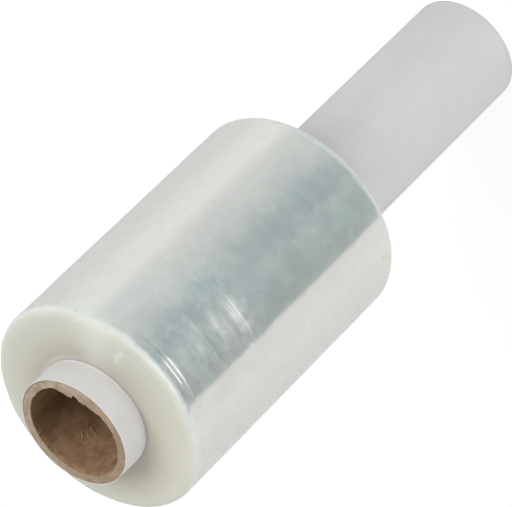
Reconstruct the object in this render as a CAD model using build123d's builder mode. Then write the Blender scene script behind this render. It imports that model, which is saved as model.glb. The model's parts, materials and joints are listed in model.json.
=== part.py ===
"""Hand roll of stretch wrap on an extended paper core.

The roll stands on the open end of its handle. +Z runs up the core's axis, towards the short stub, and the
origin is the centre of the handle's end. All sizes are in millimetres.
"""

import os

from build123d import *

# The core: a wound board tube with a white paper ply glued round it, cut square at both ends.
bore_diameter = 38.1
board_wall = 3.2
cover_ply = 0.25

# Along the core, from the floor up: the bare handle, the wound film, and the short bare stub.
handle_length = 114.3
film_width = 127.0
stub_length = 12.7

# The wound film, as it would be measured across the roll.
film_diameter = 86.4
film_edge_radius = 3.4

core_length = handle_length + film_width + stub_length
bore_radius = bore_diameter / 2
board_radius = bore_radius + board_wall
core_radius = board_radius + cover_ply
film_radius = film_diameter / 2
film_wound_depth = film_radius - core_radius
# The turns near the outside draw in at both edges, so the corner is round, within what is wound on the core.
edge_radius = min(film_edge_radius, 0.45 * film_wound_depth, 0.45 * film_width)


def build_board_tube():
    """The brown board tube: the bore takes a spindle, and the outside carries the white ply."""
    with BuildPart() as board_tube:
        with BuildSketch(Plane.XY):
            Circle(board_radius)
            Circle(bore_radius, mode=Mode.SUBTRACT)
        extrude(amount=core_length)
    board_tube.part.label = "core_board_tube"
    return board_tube


def build_cover_ply():
    """The white paper ply, glued all over the board tube and cut off flush with it at both ends."""
    with BuildPart() as white_ply:
        with BuildSketch(Plane.XY):
            Circle(core_radius)
            Circle(board_radius, mode=Mode.SUBTRACT)
        extrude(amount=core_length)
    white_ply.part.label = "core_cover_ply"
    return white_ply


def build_film_roll():
    """All the turns of film as one solid, wound tight on the white ply, with the outer corners rounded."""
    with BuildPart() as film_roll:
        with BuildSketch(Plane.XZ):
            with Locations((core_radius, handle_length)):
                Rectangle(film_wound_depth, film_width, align=(Align.MIN, Align.MIN))
            outer_corners = vertices().group_by(Axis.X)[-1]
            fillet(outer_corners, edge_radius)
        revolve(axis=Axis.Z)
    film_roll.part.label = "film_roll"
    return film_roll


def export_piece(piece):
    """Writes one finished piece to parts/, under the name that it is labelled with."""
    os.makedirs("parts", exist_ok=True)
    export_step(piece.part, f"parts/{piece.part.label}.step")


for build in (build_board_tube, build_cover_ply, build_film_roll):
    export_piece(build())
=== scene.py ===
"""Looks of a hand roll of stretch wrap: wound film on a brown board tube with a white paper ply round it."""

import json
import math

import bpy
from mathutils import Matrix, Vector


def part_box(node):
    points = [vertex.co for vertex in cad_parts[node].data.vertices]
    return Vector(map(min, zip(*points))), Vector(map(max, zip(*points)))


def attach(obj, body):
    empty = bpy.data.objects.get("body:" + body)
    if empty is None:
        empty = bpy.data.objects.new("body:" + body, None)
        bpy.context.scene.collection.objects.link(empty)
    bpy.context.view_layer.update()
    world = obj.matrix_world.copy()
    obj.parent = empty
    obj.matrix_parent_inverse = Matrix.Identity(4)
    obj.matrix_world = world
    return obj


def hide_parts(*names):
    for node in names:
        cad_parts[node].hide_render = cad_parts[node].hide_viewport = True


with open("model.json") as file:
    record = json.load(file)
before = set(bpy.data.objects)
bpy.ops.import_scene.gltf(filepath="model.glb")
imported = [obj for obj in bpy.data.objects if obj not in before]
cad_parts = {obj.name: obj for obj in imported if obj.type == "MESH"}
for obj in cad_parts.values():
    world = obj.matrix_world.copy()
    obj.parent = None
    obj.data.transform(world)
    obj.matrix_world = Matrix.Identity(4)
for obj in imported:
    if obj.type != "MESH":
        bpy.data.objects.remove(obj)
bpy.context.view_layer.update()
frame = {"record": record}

# Sizes in millimetres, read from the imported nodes. Heights run up the core from the floor.
MM = 0.001
film_low, film_high = (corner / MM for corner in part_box("film_roll"))
_, ply_high = (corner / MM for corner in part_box("core_cover_ply"))
board_low, board_high = (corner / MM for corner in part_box("core_board_tube"))
film_radius = film_high.x
film_bottom, film_top = film_low.z, film_high.z
film_middle = (film_bottom + film_top) / 2
film_edge_radius = 3.4
core_radius = ply_high.x
board_radius = board_high.x
core_bottom, core_top = board_low.z, board_high.z
mounts = {mount["name"]: mount for mount in frame["record"]["mounts"]}
bore_radius = mounts["core_bore"]["dims"]["r_mm"]

# Angles round the roll are in degrees from the side that faces -Y, and grow towards +X.
FRONT = -90.0

# The meshes: columns round each piece, steps along its outline, and the bend past which an edge shows sharp.
COLUMNS = 288
BOARD_COLUMNS = 512
FILM_SIDE_STEP, FILM_END_STEP, FILM_BEND_STEP = 1.5, 0.42, 9.0
WRINKLE_REACH, WRINKLE_STEP = 1.0, 0.14
CUT_REACH = 3.0
SHARP_CORNER = 50.0

# How far the film's side stands out of true, in millimetres.
GAUGE_BANDS = 0.10
OUT_OF_ROUND = 0.10
AIR_POCKETS = 0.05
CREASE_LINES = 0.08
TAIL_ANGLE, TAIL_STEP = 150.0, 0.14

# How far the film's ends stand out of flat, in millimetres: single turns, broad dishing, an even sink, a
# fold and a swell at their angles, a wavy rim, and the innermost turns that climb the ply.
UNEVEN_TURNS = 0.05
DISHING = 0.12
END_SINK = 0.08
FOLD_ANGLE, FOLD_STAND = 13.0, 0.18
SWELL_ANGLE, SWELL_STAND = 33.0, 0.16
RIM_WAVES = 0.40
CLIMB_WIDTH, CLIMB = 0.55, 0.40

# Fine wrinkles that run round the film: distance below the film's top end, height, where each is strong
# (first and last angle), and the share of its height that it keeps over the longer tail.
WRINKLES = (
    (6.2, 0.31, -17.0, -8.0, 0.08),
    (8.2, 0.33, -18.0, -7.0, 0.16),
    (25.8, 0.05, -22.0, -2.0, 0.15),
    (33.3, 0.07, -13.0, -8.0, 0.0),
    (37.3, 0.06, -20.0, -12.0, 0.0),
    (41.4, 0.17, -16.0, -11.0, 0.22),
    (42.6, 0.20, -18.0, -10.0, 0.08),
    (44.4, 0.22, -22.0, -8.0, 0.26),
    (47.6, 0.08, -18.0, -12.0, 0.0),
)
WRINKLE_WIDTH = 0.42
WRINKLE_FADE = 5.0
WRINKLE_TAIL_FROM, WRINKLE_TAIL_TO, WRINKLE_TAIL_FADE = -24.0, 30.0, 12.0

# Places where the outer turns stand off and look paler, lightened further with painted highlight: angle,
# distance below the top end, width, height and share.
PALE_SHEEN_SPOTS = (
    (-13.0, 43.0, 7.0, 2.9, 1.0),
    (-10.0, 33.3, 5.5, 2.4, 0.7),
    (-15.0, 21.5, 4.5, 2.0, 0.7),
    (-16.0, 37.5, 6.0, 1.4, 0.4),
    (-13.0, 7.2, 6.0, 1.2, 0.5),
)

# Specks of dirt under the outer turns: angle, height, share.
SPECKS = ((-51.0, 121.8, 0.8), (-13.6, 184.5, 0.4))
SPECK_CORE, SPECK_RIM = 0.15, 0.48

# Colours of the film's side and of its end.
FILM_DIM, FILM_PALE = (0.585, 0.607, 0.594), (0.685, 0.695, 0.667)
FILM_TEAL, FILM_BLUE = (0.550, 0.648, 0.638), (0.560, 0.605, 0.650)
# The pale colour of the standing-off turns, lightened further as painted highlight.
FILM_PALE_SHEEN = (0.780, 0.800, 0.775)
# Towards the core the end is darker: partly the film's own tone, partly painted shade from the collar.
END_INNER, END_OUTER = (0.418, 0.404, 0.326), (0.515, 0.525, 0.460)
END_RIM, END_RINGS = (0.455, 0.468, 0.420), (0.565, 0.572, 0.507)
# On one side the end is warmed and lightened: painted warm light that lifts the collar's shadow there.
# The end's fold and the swell beside it are lightened with painted highlight.
END_WARM_LIGHT, END_FOLD_HIGHLIGHT = (0.740, 0.700, 0.560), (0.800, 0.815, 0.780)
# Right by the core the end is lighter: painted light that lifts the contact shadow at the collar.
END_LIGHT_BY_CORE = (0.690, 0.655, 0.560)
DIRT = (0.05, 0.05, 0.05)

# The core: its small edges, the pitch of its plies, and the torn lip at the stub's end.
PLY_EDGE, BOARD_EDGE = 0.08, 0.05
PLY_PITCH, PLY_TURN = 0.42, 55.0
BURR_FROM, BURR_TO, BURR_FADE = -2.0, 42.0, 22.0
SEAM_ANGLE, SEAM_PITCH = 85.0, 2.4

# Colours of the core's pieces.
PAPER_DIM, PAPER_WHITE = (0.610, 0.597, 0.588), (0.640, 0.630, 0.625)
# The paper's colour by the film is painted light that lifts the contact shade there.
PAPER_TOOTH, PAPER_LIT_BY_FILM = (0.570, 0.555, 0.540), (0.780, 0.755, 0.700)
WALL_DARK, WALL_PALE = (0.232, 0.135, 0.071), (0.366, 0.237, 0.146)
WALL_SEAM, WALL_SHADE = (0.150, 0.090, 0.055), (0.110, 0.055, 0.020)
CUT_DARK, CUT_PALE = (0.238, 0.176, 0.121), (0.446, 0.360, 0.277)
# The cut end's dark grey is mostly painted shade along its outer edge, with a little grey in the flecks.
# The cut end's shade colour is painted shade on one side.
CUT_STAIN, CUT_SHADE, CUT_GREY_AND_SHADE = (0.320, 0.222, 0.150), (0.220, 0.145, 0.085), (0.100, 0.082, 0.060)
FIBRE_DARK, FIBRE_PALE = (0.40, 0.28, 0.13), (0.56, 0.43, 0.23)

# Loose fibres in the bore: how many, how thick and how bent, then the clump and where the lone ones may be.
FIBRES = 44
FIBRE_RADIUS, FIBRE_SIDES = 0.09, 4
FIBRE_BEND, FIBRE_HALF_SWEEP, FIBRE_POINTS, FIBRE_OUT = 1.2, 0.7, 6, 0.86
CLUMP_SHARE = 0.8
CLUMP_ANGLE, CLUMP_WIDE = -166.0, 5.5
CLUMP_DEPTH, CLUMP_TALL = 16.0, 2.4
LONE_ANGLES, LONE_DEPTHS = (-235.0, -100.0), (3.0, 40.0)

# The floor, in millimetres, and how brightly the camera sees it near the roll and far off.
FLOOR_REACH, FLOOR_SIDES = 8000.0, 96
FLOOR_MATT, FLOOR_FAINT = 0.72, 0.20
GLOW_NEAR, GLOW_FAR = (0.84, 0.84, 0.84), (0.915, 0.915, 0.915)
GLOW_FROM, GLOW_TO = 300.0, 1800.0

# What glossy surfaces mirror: the colour of the studio's walls by azimuth, and one softbox.
HORIZON = (
    (-180.0, (1.13, 1.05, 0.99)),
    (-152.8, (1.08, 1.00, 0.93)),
    (-150.4, (0.02, 0.10, 0.11)),
    (-126.0, (0.02, 0.14, 0.15)),
    (-108.0, (0.12, 0.26, 0.27)),
    (-92.0, (0.02, 0.13, 0.19)),
    (-78.0, (0.09, 0.23, 0.27)),
    (-60.0, (0.47, 0.56, 0.55)),
    (-42.0, (0.74, 0.75, 0.72)),
    (-28.0, (0.84, 0.83, 0.80)),
    (-12.0, (1.24, 1.20, 1.16)),
    (8.0, (1.10, 1.05, 1.02)),
    (30.0, (0.84, 0.80, 0.77)),
    (60.0, (0.71, 0.69, 0.68)),
    (90.0, (0.64, 0.62, 0.61)),
    (128.0, (0.77, 0.74, 0.71)),
    (180.0, (1.13, 1.05, 0.99)),
)
PLAIN_WALL, SOFTBOX = (0.74, 0.75, 0.73), (2.1, 2.1, 2.0)

# Light. Each lamp: name, watts, width and height in metres, azimuth and elevation in degrees.
WHITE = (1.0, 1.0, 1.0, 1.0)
AMBIENT = 0.45
LAMP_DISTANCE = 1.5
LAMPS = (
    ("key", 19.0, 1.2, 1.2, -37.0, 50.0),
    ("fill", 8.9, 0.9, 0.25, -145.0, -2.0),
    ("back", 3.5, 0.8, 0.8, 143.0, 68.0),
)

# The camera, in millimetres and degrees. It aims at a height on the core's axis.
CAMERA_SENSOR, CAMERA_LENS = 36.0, 289.25
CAMERA_ELEVATION, CAMERA_ROLL = 37.47, -134.49
CAMERA_AIM, CAMERA_DISTANCE = 141.3, 1507.3
CAMERA_FAR_END = 50.0


# Values, nodes and trees ------------------------------------------------------------------------------------


class Wire:
    """The output of a node, on which sums are written as in Python."""

    def __init__(self, tree, socket):
        self.tree = tree
        self.socket = socket

    def also(self, name):
        """Another output of the same node."""
        return Wire(self.tree, self.socket.node.outputs[name])

    def __add__(self, other):
        return self.tree.math("ADD", self, other)

    def __radd__(self, other):
        return self.tree.math("ADD", other, self)

    def __sub__(self, other):
        return self.tree.math("SUBTRACT", self, other)

    def __rsub__(self, other):
        return self.tree.math("SUBTRACT", other, self)

    def __mul__(self, other):
        return self.tree.math("MULTIPLY", self, other)

    def __rmul__(self, other):
        return self.tree.math("MULTIPLY", other, self)

    def __truediv__(self, other):
        return self.tree.math("DIVIDE", self, other)

    def __neg__(self):
        return self.tree.math("MULTIPLY", self, -1.0)


class Tree:
    """A shader, world or geometry tree, with one method that makes any node."""

    def __init__(self, node_tree):
        self.node_tree = node_tree
        self.node_tree.nodes.clear()

    def make(self, kind, settings=None, inputs=None, out=0):
        """Makes a node: its settings first, then the values, wire or list of wires of each socket.

        Gives the named output, or the node itself if it has none.
        """
        node = self.node_tree.nodes.new(kind)
        for name, value in (settings or {}).items():
            if name == "stops":
                self.set_stops(node.color_ramp.elements, value)
            else:
                setattr(node, name, value)
        for key, value in (inputs or {}).items():
            if isinstance(value, (Wire, list)):
                for wire in value if isinstance(value, list) else [value]:
                    self.node_tree.links.new(wire.socket, node.inputs[key])
            else:
                node.inputs[key].default_value = value
        return Wire(self, node.outputs[out]) if len(node.outputs) else node

    def set_stops(self, points, stops):
        """Gives a ramp its stops, each a place from 0 to 1 and a colour, in rising order."""
        points[0].position, points[0].color = stops[0]
        points[1].position, points[1].color = stops[-1]
        for place, colour in stops[1:-1]:
            points.new(place).color = colour

    def math(self, operation, *values):
        return self.make("ShaderNodeMath", {"operation": operation}, dict(enumerate(values)))

    def join(self, x, y, z):
        return self.make("ShaderNodeCombineXYZ", None, {0: x, 1: y, 2: z})

    def parts(self, vector):
        x = self.make("ShaderNodeSeparateXYZ", None, {0: vector})
        return x, x.also("Y"), x.also("Z")

    def ease(self, value, start, end):
        """0 before start, 1 after end, and smooth between."""
        return self.make("ShaderNodeMapRange", {"interpolation_type": "SMOOTHSTEP"},
                         {"Value": value, "From Min": start, "From Max": end})

    def between(self, value, start, end, soft):
        """1 from start to end, with a soft edge outside each."""
        return self.ease(value, start - soft, start) * (1.0 - self.ease(value, end, end + soft))

    def hump(self, value, centre, width):
        """1 at centre, dying away over width to either side."""
        off = (value - centre) / width
        return self.math("EXPONENT", -(off * off))

    def noise(self, vector, detail=2.0, roughness=0.5, scale=1.0):
        """Smooth noise, from about -1 to 1."""
        raw = self.make("ShaderNodeTexNoise", {"noise_dimensions": "3D"},
                        {"Vector": vector, "Scale": scale, "Detail": detail, "Roughness": roughness})
        return (raw - 0.5) * 2.0

    def blend(self, share, first, second):
        """A colour that goes from first to second."""
        ends = [c if isinstance(c, Wire) else (*c, 1.0) for c in (first, second)]
        return self.make("ShaderNodeMix", {"data_type": "RGBA"}, {0: share, 6: ends[0], 7: ends[1]}, out=2)


def one_turn(tree, angle):
    """The same angle, from -180 to 180 degrees."""
    return tree.math("WRAP", angle, 180.0, -180.0)


def polar(tree, position):
    """Radius and height in millimetres, and the angle in degrees, of a place in metres."""
    x, y, z = tree.parts(position)
    radius = tree.math("SQRT", x * x + y * y) / MM
    turn = tree.math("ARCTAN2", y, x) * math.degrees(1.0) - FRONT
    return radius, one_turn(tree, turn), z / MM


def facing(tree, angle, side, start, end):
    """1 on one side of the roll and 0 away from it, eased as the cosine of the angle between goes up."""
    return tree.ease(tree.math("COSINE", tree.math("RADIANS", angle - side)), start, end)


def skin_place(tree, angle, height, wide, tall, radius=film_radius):
    """A place for a pattern on a round surface, whose lumps are wide and tall, in millimetres."""
    turn = tree.math("RADIANS", angle)
    across = radius / wide
    return tree.join(tree.math("COSINE", turn) * across, tree.math("SINE", turn) * across, height / tall)


def lumps(tree, angle, height, wide, tall, detail=2.0, roughness=0.5, radius=film_radius):
    """Noise on a round surface, whose lumps are wide and tall, in millimetres."""
    return tree.noise(skin_place(tree, angle, height, wide, tall, radius), detail, roughness)


# Lathe ------------------------------------------------------------------------------------------------------


def steps(start, end, step):
    """Even places from start up to, but without, end."""
    count = max(1, round(abs(end - start) / step))
    return [start + (end - start) * i / count for i in range(count)]


def with_fine(start, end, step, fine):
    """Places from start up to end, with a finer step within a reach of each chosen place."""
    places = []
    here = start
    while here < end:
        places.append(here)
        near = [small for centre, reach, small in fine if abs(here - centre) < reach]
        here += min(near + [step])
    return places


def finished(piece, name):
    """Turns a piece with its modifier into a plain mesh, with its place in the mesh."""
    ready = piece.evaluated_get(bpy.context.evaluated_depsgraph_get())
    mesh = bpy.data.meshes.new_from_object(ready)
    mesh.name = name
    piece.modifiers.clear()
    piece.data = mesh
    for attribute in ("section", "turn"):
        if attribute in mesh.attributes:
            mesh.attributes.remove(mesh.attributes[attribute])
    return piece


def lathe(name, outline, sizes, shape, material, added=None):
    """Turns a closed outline of (radius, height) places about the core's axis.

    sizes are the tree's named inputs. shape works the surface: from the sizes and a place's radius, angle and
    height it gives the worked radius and height. added gives geometry that is joined to the turned surface.
    """
    mesh = bpy.data.meshes.new(name + "_outline")
    loop = [(i, (i + 1) % len(outline)) for i in range(len(outline))]
    mesh.from_pydata([(radius, height, 0.0) for radius, height in outline], loop, [])
    piece = bpy.data.objects.new(name, mesh)
    bpy.context.scene.collection.objects.link(piece)

    group = bpy.data.node_groups.new(name + "_lathe", "GeometryNodeTree")
    group.interface.new_socket("Outline", in_out="INPUT", socket_type="NodeSocketGeometry")
    identifiers = {}
    for label, value in sizes.items():
        kind = "NodeSocketInt" if isinstance(value, int) else "NodeSocketFloat"
        identifiers[label] = group.interface.new_socket(label, in_out="INPUT", socket_type=kind).identifier
    group.interface.new_socket("Piece", in_out="OUTPUT", socket_type="NodeSocketGeometry")
    tree = Tree(group)
    given = tree.make("NodeGroupInput")
    size = {label: given.also(label) for label in sizes}

    section = tree.make("GeometryNodeMeshToCurve", None, {0: given})
    place = tree.make("GeometryNodeInputPosition")
    section = tree.make("GeometryNodeStoreNamedAttribute", {"data_type": "FLOAT_VECTOR", "domain": "POINT"},
                        {"Geometry": section, "Name": "section", "Value": place})
    path = tree.make("GeometryNodeCurvePrimitiveCircle", None, {"Resolution": size["Columns"]})
    turn = tree.make("GeometryNodeInputIndex") / size["Columns"] * (2 * math.pi)
    path = tree.make("GeometryNodeStoreNamedAttribute", {"data_type": "FLOAT", "domain": "POINT"},
                     {"Geometry": path, "Name": "turn", "Value": turn})
    skin = tree.make("GeometryNodeCurveToMesh", None, {"Curve": path, "Profile Curve": section})

    place = tree.make("GeometryNodeInputNamedAttribute", {"data_type": "FLOAT_VECTOR"}, {"Name": "section"})
    radius, height, _ = tree.parts(place)
    turned = tree.make("GeometryNodeInputNamedAttribute", {"data_type": "FLOAT"}, {"Name": "turn"})
    angle = one_turn(tree, turned * math.degrees(1.0) - FRONT)
    radius, height = shape(tree, size, radius, angle, height)
    x = radius * tree.math("COSINE", turned) * MM
    y = radius * tree.math("SINE", turned) * MM
    skin = tree.make("GeometryNodeSetPosition", None,
                     {"Geometry": skin, "Position": tree.join(x, y, height * MM)})
    skin = tree.make("GeometryNodeFlipFaces", None, {0: skin})
    skin = tree.make("GeometryNodeSetMaterial", None, {"Geometry": skin, "Material": material})
    if added:
        skin = tree.make("GeometryNodeJoinGeometry", None, {0: [skin, added(tree, size)]})
    skin = tree.make("GeometryNodeSetShadeSmooth", {"domain": "FACE"}, {"Geometry": skin})
    corner = tree.make("FunctionNodeCompare", {"operation": "GREATER_THAN"},
                       {0: tree.make("GeometryNodeInputMeshEdgeAngle"),
                        1: tree.math("RADIANS", size["Sharp Corner"])})
    skin = tree.make("GeometryNodeSetShadeSmooth", {"domain": "EDGE"},
                     {"Geometry": skin, "Selection": corner, "Shade Smooth": False})
    skin = tree.make("GeometryNodeRealizeInstances", None, {"Geometry": skin})
    tree.make("NodeGroupOutput", None, {0: skin})

    modifier = piece.modifiers.new("lathe", "NODES")
    modifier.node_group = group
    for label, value in sizes.items():
        modifier[identifiers[label]] = value
    return finished(piece, name)


# Film -------------------------------------------------------------------------------------------------------


def film_outline():
    """Round the film's section: up the outside, in over the top, down the core and out under the bottom."""
    inner = film_radius - film_edge_radius
    low, high = film_bottom + film_edge_radius, film_top - film_edge_radius
    fine = [(film_top - wrinkle[0], WRINKLE_REACH, WRINKLE_STEP) for wrinkle in WRINKLES]
    bend = [math.radians(a) for a in steps(0, 90, FILM_BEND_STEP)]
    side = [(film_radius, z) for z in with_fine(low, high, FILM_SIDE_STEP, fine)]
    top_bend = [(inner + film_edge_radius * math.cos(a), high + film_edge_radius * math.sin(a)) for a in bend]
    top = [(r, film_top) for r in steps(inner, core_radius, FILM_END_STEP)]
    core = [(core_radius, film_top), (core_radius, film_bottom)]
    bottom = [(r, film_bottom) for r in steps(core_radius, inner, FILM_END_STEP)[1:]]
    low_bend = [(inner + film_edge_radius * math.sin(a), low - film_edge_radius * math.cos(a)) for a in bend]
    return side + top_bend + top + core + bottom + low_bend


def calm(tree, angle):
    """1 on the two sides where the outer turns lie tight and smooth."""
    return tree.hump(angle, 57.0, 33.0) + tree.hump(angle, -60.0, 27.0)


def creased(tree, angle, from_top, first, last, soft):
    """1 in the band below the film's top end where the outer turns are creased, less on the calm sides."""
    return tree.between(from_top, first, last, soft) * (1.0 - calm(tree, angle) * 0.9)


def fold_angle(tree, radius, angle):
    """The angle, shifted to and fro along the radius, so that what follows it is a little crooked."""
    return angle + tree.noise(tree.join(radius / 5.0, 0.0, 6.0)) * 3.0


def film_shape(tree, size, radius, angle, height):
    """Gauge bands, air pockets and wrinkles on the outside, and turns of uneven height on the two ends."""
    outer, core = size["Film Radius"], size["Core Radius"]
    bottom, top = size["Film Bottom"], size["Film Top"]
    middle, half = (bottom + top) / 2.0, (top - bottom) / 2.0

    side = tree.ease(radius, outer - size["Edge Radius"], outer - 0.3)
    bands = tree.noise(tree.join(7.3, 2.1, height / 16.0)) * GAUGE_BANDS
    oval = lumps(tree, angle, height, 70.0, 200.0) * OUT_OF_ROUND
    pockets = lumps(tree, angle, height, 10.0, 12.0) * AIR_POCKETS
    lines = lumps(tree, angle, height, 14.0, 4.5) * CREASE_LINES
    outward = bands + oval + pockets + lines * creased(tree, angle, top - height, 6.0, 46.0, 5.0)
    wander = lumps(tree, angle, middle, 40.0, 200.0) * 0.5
    uneven = lumps(tree, angle, height, 4.0, 1.6) * 0.6 + 1.0
    tail_share = tree.between(angle, WRINKLE_TAIL_FROM, WRINKLE_TAIL_TO, WRINKLE_TAIL_FADE)
    for drop, stand, first, last, kept in WRINKLES:
        strong = tree.between(angle, first, last, WRINKLE_FADE) * (1.0 - kept) + tail_share * kept
        outward = outward + tree.hump(height - wander, top - drop, WRINKLE_WIDTH) * strong * uneven * stand
    tail = tree.ease(angle, TAIL_ANGLE - 2.0, TAIL_ANGLE) * (1.0 - tree.ease(angle, TAIL_ANGLE, 179.0))
    outward = outward + tail * TAIL_STEP

    end = tree.ease(radius, core, core + 0.8) * (1.0 - side)
    up = tree.ease(height, middle - 1.0, middle + 1.0) * 2.0 - 1.0
    turns = tree.noise(tree.join(radius / 1.3, 4.0, up), 3.0, 0.6) * UNEVEN_TURNS
    dishing = lumps(tree, angle, radius, 50.0, 14.0) * DISHING
    crooked = fold_angle(tree, radius, angle)
    fold = tree.hump(crooked, FOLD_ANGLE, 2.2) * FOLD_STAND
    fold = (fold + tree.hump(crooked, SWELL_ANGLE, 7.0) * SWELL_STAND) * tree.ease(up, 0.0, 1.0)
    radius = radius + outward * side
    climb = tree.hump(radius, core, CLIMB_WIDTH) * CLIMB
    from_middle = tree.math("ABSOLUTE", height - middle)
    at_rim = tree.hump(radius, outer - 1.4, 1.7) * tree.ease(from_middle, half - 6.0, half - 3.0)
    wavy = lumps(tree, angle, up, 4.5, 0.2) * RIM_WAVES * at_rim
    height = height + ((turns + dishing + fold - END_SINK) * end + climb) * up * (1.0 - side) + wavy * up
    return radius, height


def film_side_colour(tree, angle, height, tight, creases):
    """The milky colour of the film's side and its haze, both cloudy in large and small patches."""
    cloud = lumps(tree, angle, height, 7.0, 13.0, 4.0, 0.6)
    patch = lumps(tree, angle, height, 16.0, 38.0)
    streak = lumps(tree, angle, height, 24.0, 2.6, 3.0)
    haze = (cloud * 0.42 + patch * 0.45) * (1.0 - tight * 0.75) + streak * creases * 0.35
    milky = tree.blend(tree.ease(haze, -0.7, 0.75), FILM_DIM, FILM_PALE)
    milky = tree.blend(tree.ease(patch, -0.1, 0.5) * (0.7 - tight * 0.6), milky, FILM_TEAL)
    blue = lumps(tree, angle, height + 90.0, 13.0, 20.0)
    milky = tree.blend(tree.ease(blue, 0.0, 0.5) * (0.5 - tight * 0.4), milky, FILM_BLUE)
    return milky, haze


def film_end_colour(tree, radius, angle, rings):
    """The film's end: deeper in colour towards the core, partly its own tone and partly painted shade, with
    painted light right at the core, fine rings, painted warm light on one side, and painted highlight on a
    fold and the swell beside it.
    """
    blotch = lumps(tree, angle, radius, 22.0, 12.0)
    # Darker towards the core: partly the film's own deeper tone, partly painted shade from the collar.
    end = tree.blend(tree.ease(radius, core_radius, film_radius - 2.0), END_INNER, END_OUTER)
    end = tree.blend(tree.ease(radius, film_radius - 5.7, film_radius - 1.7) * 0.4, end, END_RIM)
    # Painted warm light on the side near -84 degrees, which lifts the collar's shadow there.
    end = tree.blend(facing(tree, angle, -84.0, 0.1, 1.0) * 0.24, end, END_WARM_LIGHT)
    end = tree.blend(tree.ease(rings * 0.5 + blotch * 0.5, -0.6, 0.6) * 0.30, end, END_RINGS)
    # Painted highlight on the fold and painted light on the swell beside it.
    fold = tree.hump(fold_angle(tree, radius, angle), FOLD_ANGLE, 1.9)
    fold = fold * tree.between(radius, film_radius - 10.7, film_radius - 7.2, 4.0) * 0.28
    end = tree.blend(fold + tree.hump(angle, SWELL_ANGLE - 2.0, 12.0) * 0.25, end, END_FOLD_HIGHLIGHT)
    # Painted light right by the core, which lifts the contact shadow where the film meets the collar.
    return tree.blend(tree.hump(radius, core_radius, 1.4) * 0.9, end, END_LIGHT_BY_CORE)


def film_material():
    """Many turns of clear film: a milky depth under layer upon layer that each mirror a little."""
    material, tree, shader = painted("wound_film")
    radius, angle, height = polar(tree, tree.make("ShaderNodeTexCoord", out="Object"))
    side = tree.ease(radius, film_radius - 1.9, film_radius - 0.2)
    tight = calm(tree, angle)
    creases = creased(tree, angle, film_top - height, 2.0, 47.0, 7.0)

    rings = tree.noise(tree.join(radius / 0.55, 3.0, 8.0), 4.0, 0.7)
    milky, haze = film_side_colour(tree, angle, height, tight, creases)
    colour = tree.blend(side, film_end_colour(tree, radius, angle, rings), milky)
    for speck_angle, speck_height, dark in SPECKS:
        off = (angle - speck_angle) * (math.radians(1.0) * film_radius)
        rise = height - speck_height
        spot = 1.0 - tree.ease(tree.math("SQRT", off * off + rise * rise), SPECK_CORE, SPECK_RIM)
        colour = tree.blend(spot * side * dark, colour, DIRT)

    # Where the outer turns lie loose they mirror less: in patches, along short nicks, and in the pale spots.
    broad = lumps(tree, angle, height, 12.0, 11.0)
    middling = lumps(tree, angle, height, 5.5, 4.5, 1.0)
    small = lumps(tree, angle, height, 3.4, 2.6, 1.0)
    loose = tree.ease(broad, -0.35, 0.35) * 0.55 + tree.ease(middling, -0.12, 0.30) * (0.18 + creases * 0.35)
    loose = loose + tree.ease(small, 0.0, 0.35) * (0.04 + creases * 0.25)
    warped = height + lumps(tree, angle, height, 6.0, 6.0) * 3.0
    cell = tree.make("ShaderNodeTexVoronoi", {"feature": "DISTANCE_TO_EDGE"},
                     {"Vector": skin_place(tree, angle, warped, 11.0, 7.0), "Scale": 1.0})
    nick = tree.hump(cell, 0.0, 0.035) * tree.ease(lumps(tree, angle, height, 5.0, 4.0), 0.26, 0.42)
    ragged_angle, ragged_height = angle + middling * 5.0, height + small * 1.6
    # Pale spots: where the outer turns stand off, partly paler turns and partly painted highlight.
    pale_sheen = 0.0
    for spot_angle, drop, wide, tall, share in PALE_SHEEN_SPOTS:
        spot = tree.hump(ragged_angle, spot_angle, wide) * tree.hump(ragged_height, film_top - drop, tall)
        pale_sheen = spot * share + pale_sheen

    # The rims are pale and soft, and the side is hazy above its lower rim.
    from_rim = tree.math("MINIMUM", film_top - height, height - film_bottom - 0.9)
    pale_rim = 1.0 - tree.ease(from_rim + lumps(tree, angle, height, 4.0, 6.0) * 1.1, 2.1, 3.9)
    soft_rim = 1.0 - tree.ease(from_rim, 1.2, 4.2)
    low_haze = 1.0 - tree.ease(height, film_bottom + 6.0, film_bottom + 24.0)
    mirror = (0.51 - loose * 0.17 - nick * 0.10 - pale_sheen * 0.24 - low_haze * 0.07) * (1.0 - pale_rim * 0.65)

    facets = lumps(tree, angle, height, 7.0, 7.0) * (0.28 - tight * 0.19)
    facets = facets + lumps(tree, angle, height, 9.0, 1.6) * 0.16 * creases
    # Lighter in the pale spots: partly the paler standing-off turns, partly painted highlight.
    shader.feed("Base Color", tree.blend(pale_sheen * side * 0.8, colour, FILM_PALE_SHEEN))
    shader.feed("Metallic", side * mirror)
    shader.feed("Coat Weight", side * (0.8 - soft_rim * 0.65) + 0.1)
    dull = tree.ease(haze, -0.5, 1.0) * side * 0.06
    shader.feed("Roughness", 0.45 - side * (0.34 - soft_rim * 0.18) + dull)
    shader.raised(facets * side + rings * (1.0 - side) * 0.15, 1.0, 0.10)
    shader.set("Coat Roughness", 0.06)
    shader.set("IOR", 1.5)
    shader.set("Subsurface Weight", 0.7)
    shader.set("Subsurface Radius", (1.0, 1.0, 0.8))
    shader.set("Subsurface Scale", 11.0 * MM)
    return material


# Core -------------------------------------------------------------------------------------------------------


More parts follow.
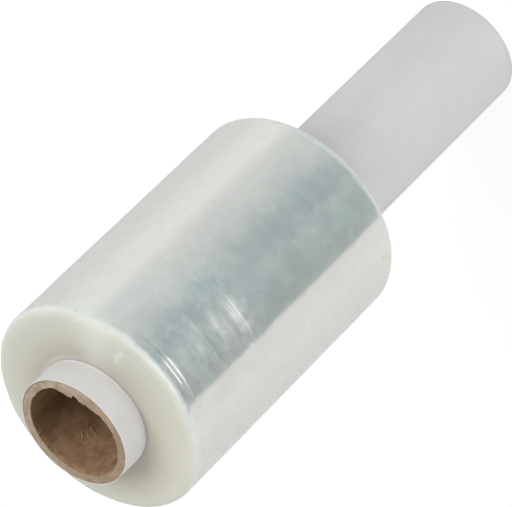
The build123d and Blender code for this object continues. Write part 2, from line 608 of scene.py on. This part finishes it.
def tube_outline(inner, outer, edge, up_step, across_step, end_step):
    """Round a tube's section: up the outside, in over the top, down the inside and out under the bottom."""
    near = [(core_top, CUT_REACH, end_step), (core_bottom, CUT_REACH, end_step * 2.0)]
    climb = with_fine(core_bottom + edge, core_top - edge, up_step, near)
    outside = [(outer, z) for z in climb] + [(outer, core_top - edge)]
    top = [(r, core_top) for r in steps(outer - edge, inner + edge, across_step)] + [(inner + edge, core_top)]
    inside = [(inner, core_top - edge)] + [(inner, z) for z in reversed(climb)]
    bottom = [(r, core_bottom) for r in steps(inner + edge, outer - edge, across_step)]
    return outside + top + inside + bottom + [(outer - edge, core_bottom)]


def ply_shape(tree, size, radius, angle, height):
    """Paper drawn over the board: very slightly uneven, its cut edge at the stub's end a little frayed."""
    outer, top = size["Core Radius"], size["Core Top"]
    outside = tree.ease(radius, outer - 0.12, outer - 0.02)
    uneven = lumps(tree, angle, height, 26.0, 40.0) * 0.03
    fray = lumps(tree, angle, height, 1.6, 400.0, 3.0) * 0.10
    at_end = tree.ease(height, top - 0.3, top - 0.05)
    return radius + uneven * outside * (1.0 - at_end), height - at_end * (fray * 0.5 + 0.05)


def board_shape(tree, size, radius, angle, height):
    """Saw-cut ends that show the plies, and a torn lip that hangs into the bore at the stub's end."""
    bore, bottom, top = size["Bore Radius"], size["Core Bottom"], size["Core Top"]
    at_top = tree.ease(height, top - 0.4, top - 0.05)
    at_bottom = 1.0 - tree.ease(height, bottom + 0.05, bottom + 0.4)
    plies = tree.noise(tree.join(radius / PLY_PITCH, 1.0, angle / PLY_TURN)) * 0.10
    rough = lumps(tree, angle, radius, 2.2, 0.9, 3.0) * 0.09
    cut = tree.math("MINIMUM", plies + rough - 0.10, 0.0)

    arc = tree.between(angle, BURR_FROM, BURR_TO, BURR_FADE)
    tatter = lumps(tree, angle, 0.0, 2.6, 50.0, 2.0, 0.6, bore_radius)
    teeth = lumps(tree, angle, 7.0, 0.9, 50.0, 3.0, 0.75, bore_radius)
    lobes = tree.hump(angle, 40.0, 7.0) * 1.5 + tree.hump(angle, 14.0, 13.0) * 1.5
    nibbles = tree.math("MAXIMUM", tatter * 0.5 + teeth * 0.7, 0.0) * 1.5
    depth = tree.math("MAXIMUM", arc * (1.15 + lobes + tatter * 2.3 + teeth * 1.9), nibbles)
    lip = tree.ease(height, top - 1.5, top - 0.1) * (1.0 - tree.ease(radius, bore, bore + 1.3))
    inside = 1.0 - tree.ease(radius, bore + 0.02, bore + 0.2)
    wall = lumps(tree, angle, height, 6.0, 6.0, 3.0, 0.5, bore_radius) * 0.07
    radius = radius - depth * lip + wall * inside * (1.0 - at_top)
    return radius, height + cut * at_top - cut * at_bottom - depth * lip * 0.16


def loose_fibres(material):
    """Short paper fibres that stand off the bore's wall: one torn clump near the stub, and a few others."""
    def added(tree, size):
        def drawn(seed, low, high):
            return tree.make("FunctionNodeRandomValue", {"data_type": "FLOAT"},
                             {"Min": low, "Max": high, "Seed": seed}, out=1)

        points = tree.make("GeometryNodePoints", None, {"Count": size["Fibres"]})
        clump = tree.math("LESS_THAN", tree.make("GeometryNodeInputIndex"), size["Fibres"] * CLUMP_SHARE)
        across = drawn(1, -CLUMP_WIDE, CLUMP_WIDE) + drawn(2, -CLUMP_WIDE, CLUMP_WIDE)
        along = drawn(3, -CLUMP_TALL, CLUMP_TALL) + drawn(4, -CLUMP_TALL, CLUMP_TALL)
        place = clump * (across + CLUMP_ANGLE) + (1.0 - clump) * drawn(5, *LONE_ANGLES)
        depth = clump * (along + CLUMP_DEPTH) + (1.0 - clump) * drawn(6, *LONE_DEPTHS)
        around = tree.math("RADIANS", place + FRONT)
        reach = size["Bore Radius"] * MM
        spot = tree.join(tree.math("COSINE", around) * reach, tree.math("SINE", around) * reach,
                         (size["Core Top"] - depth) * MM)
        points = tree.make("GeometryNodeSetPosition", None, {"Geometry": points, "Position": spot})
        thread = tree.make("GeometryNodeCurveArc", None,
                           {"Resolution": FIBRE_POINTS, "Radius": size["Fibre Bend"] * MM,
                            "Start Angle": math.pi - FIBRE_HALF_SWEEP, "Sweep Angle": FIBRE_HALF_SWEEP * 2})
        thread = tree.make("GeometryNodeTransform", None,
                           {"Geometry": thread, "Translation": (FIBRE_OUT * MM, 0.0, 0.0)})
        thin = tree.make("GeometryNodeCurvePrimitiveCircle", None,
                         {"Resolution": FIBRE_SIDES, "Radius": size["Fibre Radius"] * MM})
        hair = tree.make("GeometryNodeCurveToMesh", None,
                         {"Curve": thread, "Profile Curve": thin, "Fill Caps": True})
        hair = tree.make("GeometryNodeSetMaterial", None, {"Geometry": hair, "Material": material})
        turn = tree.join(tree.math("RADIANS", drawn(7, 20.0, 160.0)), drawn(8, -0.6, 0.6), around)
        large = drawn(9, 0.5, 1.3)
        hairs = tree.make("GeometryNodeInstanceOnPoints", None,
                          {"Points": points, "Instance": hair, "Rotation": turn,
                           "Scale": tree.join(large, large, large)})
        return tree.make("GeometryNodeRealizeInstances", None, {"Geometry": hairs})
    return added


def board_material():
    """Brown chip board: pale and fibrous where the saw cut it, darker on the glued wall of the bore, with
    painted shade on one side of the bore and of the cut end, and along part of the cut's outer edge.
    """
    material, tree, shader = painted("raw_board")
    radius, angle, height = polar(tree, tree.make("ShaderNodeTexCoord", out="Object"))
    from_end = tree.math("MINIMUM", tree.math("ABSOLUTE", height - core_top), height - core_bottom)
    cut = 1.0 - tree.ease(from_end, 0.25, 0.7)
    torn = 1.0 - tree.ease(radius, bore_radius - 0.45, bore_radius - 0.15)
    bare = tree.math("MAXIMUM", cut, torn)

    mottle = lumps(tree, angle, height, 4.2, 5.0, 4.0, 0.62, bore_radius)
    grain = lumps(tree, angle, height, 0.8, 1.0, 3.0, 0.6, bore_radius)
    wall = tree.blend(tree.ease(mottle * 0.8 + grain * 0.25, -0.42, 0.42), WALL_DARK, WALL_PALE)
    seam = tree.hump(one_turn(tree, angle + height * SEAM_PITCH), SEAM_ANGLE, 1.6)
    wall = tree.blend(seam * tree.ease(mottle, -0.3, 0.4) * 0.45, wall, WALL_SEAM)
    # Painted shade: the bore's wall is darker from about 125 to 160 degrees.
    wall = tree.blend(tree.hump(angle, 143.0, 16.0) * 0.55, wall, WALL_SHADE)

    plies = tree.noise(tree.join(radius / PLY_PITCH, 1.0, angle / PLY_TURN), 3.0)
    fleck = lumps(tree, angle, radius, 2.0, 1.0, 3.0, 0.6, bore_radius)
    stain = lumps(tree, angle, 5.0, 12.0, 50.0, 2.0, 0.5, bore_radius)
    lump = lumps(tree, angle, radius, 3.6, 2.4, 2.0, 0.5, bore_radius)
    end = tree.blend(tree.ease(plies * 0.25 + fleck * 0.45 + lump * 0.45, -0.5, 0.5), CUT_DARK, CUT_PALE)
    end = tree.blend(tree.ease(stain, -0.1, 0.5) * 0.4, end, CUT_STAIN)
    # Painted shade: the cut end is darker on the side near -86 degrees.
    end = tree.blend(facing(tree, angle, -86.0, 0.15, 0.8) * 0.45, end, CUT_SHADE)
    # A thin dark line at the cut's outer edge: mostly painted shade on the side near 120 degrees, where the
    # ply's end lies in shadow, with a little grey in the flecks all round.
    outer = tree.ease(radius, board_radius - 0.55, board_radius - 0.1)
    grey_and_shade = outer * (tree.ease(fleck, -0.3, 0.4) * 0.15 + facing(tree, angle, 120.0, 0.1, 0.8) * 0.75)
    end = tree.blend(grey_and_shade, end, CUT_GREY_AND_SHADE)

    shader.feed("Base Color", tree.blend(bare, wall, end))
    shader.feed("Roughness", 0.78 + fleck * 0.08)
    shader.raised(mottle * 0.5 + grain * 0.5 + fleck * bare * 0.35, 0.5, 0.15)
    shader.set("IOR", 1.4)
    shader.set("Specular IOR Level", 0.12)
    return material


def paper_material():
    """Smooth uncoated white paper, a little cloudy, with a fine tooth, and painted light right by the film
    that lifts the shade where they meet.
    """
    material, tree, shader = painted("plain_paper")
    _, angle, height = polar(tree, tree.make("ShaderNodeTexCoord", out="Object"))
    cloud = lumps(tree, angle, height, 15.0, 18.0, 3.0)
    tooth = lumps(tree, angle, height, 0.7, 0.5, 3.0, 0.6)
    white = tree.blend(tree.ease(cloud, -0.6, 0.6), PAPER_DIM, PAPER_WHITE)
    white = tree.blend(tree.ease(tooth, 0.1, 0.9) * 0.25, white, PAPER_TOOTH)
    # Painted light on the paper just above the film, which lifts the contact shade, except on the side past
    # 50 to 85 degrees.
    lit_by_film = tree.hump(height, film_top + 0.3, 0.9) * (1.0 - tree.ease(angle, 50.0, 85.0))
    shader.feed("Base Color", tree.blend(lit_by_film * 0.75, white, PAPER_LIT_BY_FILM))
    shader.feed("Roughness", 0.72 + tooth * 0.06)
    shader.raised(tooth, 0.18, 0.06)
    shader.set("IOR", 1.4)
    return material


def fibre_material():
    """Pale loose paper fibres."""
    material, tree, shader = painted("paper_fibre")
    shade = tree.noise(tree.make("ShaderNodeTexCoord", out="Object"), scale=400.0)
    shader.feed("Base Color", tree.blend(tree.ease(shade, -0.5, 0.5), FIBRE_DARK, FIBRE_PALE))
    shader.feed("Roughness", 0.8 + shade * 0.05)
    return material


# Finishes, floor, light and camera --------------------------------------------------------------------------


class Surface:
    """The shader of a finish."""

    def __init__(self, tree, made):
        self.tree = tree
        self.node = made.socket.node

    def feed(self, name, wire):
        """Lets a wire vary one of the shader's sockets."""
        self.tree.node_tree.links.new(wire.socket, self.node.inputs[name])

    def set(self, name, value):
        """Sets one of the shader's sockets, the same all over."""
        self.node.inputs[name].default_value = value

    def raised(self, relief, strength, reach):
        """A relief that catches the light as if it stood out by reach, in millimetres."""
        self.feed("Normal", self.tree.make("ShaderNodeBump", None,
                                           {"Strength": strength, "Distance": reach * MM, "Height": relief}))


def painted(name):
    """A new finish with its tree and its shader, joined to its output."""
    material = bpy.data.materials.new(name)
    material.use_nodes = True
    tree = Tree(material.node_tree)
    made = tree.make("ShaderNodeBsdfPrincipled")
    tree.make("ShaderNodeOutputMaterial", None, {"Surface": made})
    return material, tree, Surface(tree, made)


def floor_material():
    """White to the camera and faintly shaded, and matt and pale to all other light."""
    material = bpy.data.materials.new("floor")
    material.use_nodes = True
    tree = Tree(material.node_tree)
    off, _, _ = polar(tree, tree.make("ShaderNodeTexCoord", out="Object"))
    even = tree.blend(tree.ease(off, GLOW_FROM, GLOW_TO), GLOW_NEAR, GLOW_FAR)
    glow = tree.make("ShaderNodeEmission", None, {"Color": even, "Strength": 1.0})
    matt, faint = (tree.make("ShaderNodeBsdfDiffuse", None, {"Color": (shade, shade, shade, 1.0)})
                   for shade in (FLOOR_MATT, FLOOR_FAINT))
    pale = tree.make("ShaderNodeAddShader", None, {0: faint, 1: glow})
    seen = tree.make("ShaderNodeLightPath", out="Is Camera Ray")
    both = tree.make("ShaderNodeMixShader", None, {0: seen, 1: matt, 2: pale})
    tree.make("ShaderNodeOutputMaterial", None, {"Surface": both})
    return material


def make_floor():
    """A wide pale floor that reads white and keeps a faint shadow."""
    mesh = bpy.data.meshes.new("floor")
    turns = [2 * math.pi * i / FLOOR_SIDES for i in range(FLOOR_SIDES)]
    rim = [(FLOOR_REACH * MM * math.cos(a), FLOOR_REACH * MM * math.sin(a), 0.0) for a in turns]
    mesh.from_pydata(rim, [], [tuple(range(FLOOR_SIDES))])
    mesh.materials.append(floor_material())
    floor = bpy.data.objects.new("floor", mesh)
    bpy.context.scene.collection.objects.link(floor)
    floor.visible_glossy = False


def studio_around(tree, azimuth, elevation):
    """What glossy surfaces mirror: walls of uneven brightness, and one softbox at the front's -X side."""
    stops = [(turn / 360.0 + 0.5, (*colour, 1.0)) for turn, colour in HORIZON]
    walls = tree.make("ShaderNodeValToRGB", {"stops": stops}, {0: azimuth / 360.0 + 0.5})
    low = tree.ease(elevation, -66.0, -45.0)
    high = 1.0 - tree.ease(elevation, -46.0, -16.0) * 0.6
    around = tree.blend(low * high, PLAIN_WALL, walls)
    softbox = tree.between(azimuth, -131.0, -93.0, 3.0) * tree.between(elevation, 5.0, 30.0, 4.0)
    return tree.blend(softbox, around, SOFTBOX)


def make_world():
    """Even light all round, white behind the roll, and the studio in what glossy surfaces mirror."""
    world = bpy.data.worlds.new("studio")
    bpy.context.scene.world = world
    world.use_nodes = True
    tree = Tree(world.node_tree)
    x, y, z = tree.parts(tree.make("ShaderNodeTexCoord", out="Generated"))
    azimuth = tree.math("ARCTAN2", y, x) * math.degrees(1.0)
    elevation = tree.math("ARCSINE", z) * math.degrees(1.0)
    even = tree.make("ShaderNodeBackground", None, {"Color": WHITE, "Strength": AMBIENT})
    mirrored = tree.make("ShaderNodeBackground", None, {"Color": studio_around(tree, azimuth, elevation)})
    white = tree.make("ShaderNodeBackground", None, {"Color": WHITE, "Strength": 1.0})
    seen = tree.make("ShaderNodeLightPath", out="Is Camera Ray")
    lit = tree.make("ShaderNodeMixShader", None, {0: seen.also("Is Glossy Ray"), 1: even, 2: mirrored})
    both = tree.make("ShaderNodeMixShader", None, {0: seen, 1: lit, 2: white})
    tree.make("ShaderNodeOutputWorld", None, {"Surface": both})


def make_lamps():
    """Soft lamps that aim at the film's middle."""
    for name, watts, wide, tall, azimuth, elevation in LAMPS:
        data = bpy.data.lights.new(name, "AREA")
        data.shape = "RECTANGLE"
        data.size, data.size_y = wide, tall
        data.energy = watts
        lamp = bpy.data.objects.new(name, data)
        bpy.context.scene.collection.objects.link(lamp)
        side, up = math.radians(azimuth), math.radians(elevation)
        away = Vector((math.cos(side) * math.cos(up), math.sin(side) * math.cos(up), math.sin(up)))
        lamp.location = away * LAMP_DISTANCE + Vector((0.0, 0.0, film_middle * MM))
        lamp.rotation_euler = away.to_track_quat("Z", "Y").to_euler()
        lamp.visible_glossy = False


def make_camera():
    """Looks down at the stub's end from the front, rolled so that the handle points up and to the right."""
    data = bpy.data.cameras.new("camera")
    data.sensor_width = CAMERA_SENSOR
    data.lens = CAMERA_LENS
    data.clip_end = CAMERA_FAR_END
    camera = bpy.data.objects.new("camera", data)
    bpy.context.scene.collection.objects.link(camera)
    up = math.radians(CAMERA_ELEVATION)
    back = Vector((0.0, -math.cos(up), math.sin(up)))
    aim = Vector((0.0, 0.0, CAMERA_AIM * MM))
    turn = back.to_track_quat("Z", "Y").to_matrix() @ Matrix.Rotation(math.radians(CAMERA_ROLL), 3, "Z")
    camera.rotation_euler = turn.to_euler()
    camera.location = aim + back * CAMERA_DISTANCE * MM
    bpy.context.scene.camera = camera


# The roll ---------------------------------------------------------------------------------------------------


def show(piece, node):
    """A finished piece stands for its CAD node and rides with the roll."""
    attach(piece, "root")
    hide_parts(node)


film_sizes = {"Columns": COLUMNS, "Sharp Corner": SHARP_CORNER, "Film Radius": film_radius,
              "Edge Radius": film_edge_radius, "Core Radius": core_radius,
              "Film Bottom": film_bottom, "Film Top": film_top}
film = lathe("wound_film", film_outline(), film_sizes, film_shape, film_material())
show(film, "film_roll")

ply_outline = tube_outline(board_radius, core_radius, PLY_EDGE, up_step=4.0, across_step=0.05, end_step=0.5)
ply_sizes = {"Columns": COLUMNS, "Sharp Corner": SHARP_CORNER,
             "Core Radius": core_radius, "Core Top": core_top}
ply = lathe("paper_ply", ply_outline, ply_sizes, ply_shape, paper_material())
show(ply, "core_cover_ply")

board_outline = tube_outline(bore_radius, board_radius, BOARD_EDGE,
                             up_step=5.5, across_step=0.2, end_step=0.2)
board_sizes = {"Columns": BOARD_COLUMNS, "Sharp Corner": SHARP_CORNER, "Bore Radius": bore_radius,
               "Core Bottom": core_bottom, "Core Top": core_top,
               "Fibres": FIBRES, "Fibre Radius": FIBRE_RADIUS, "Fibre Bend": FIBRE_BEND}
board = lathe("board_tube", board_outline, board_sizes, board_shape, board_material(),
              loose_fibres(fibre_material()))
show(board, "core_board_tube")

make_floor()
make_world()
make_lamps()
make_camera()
bpy.context.scene.view_settings.view_transform = "Standard"
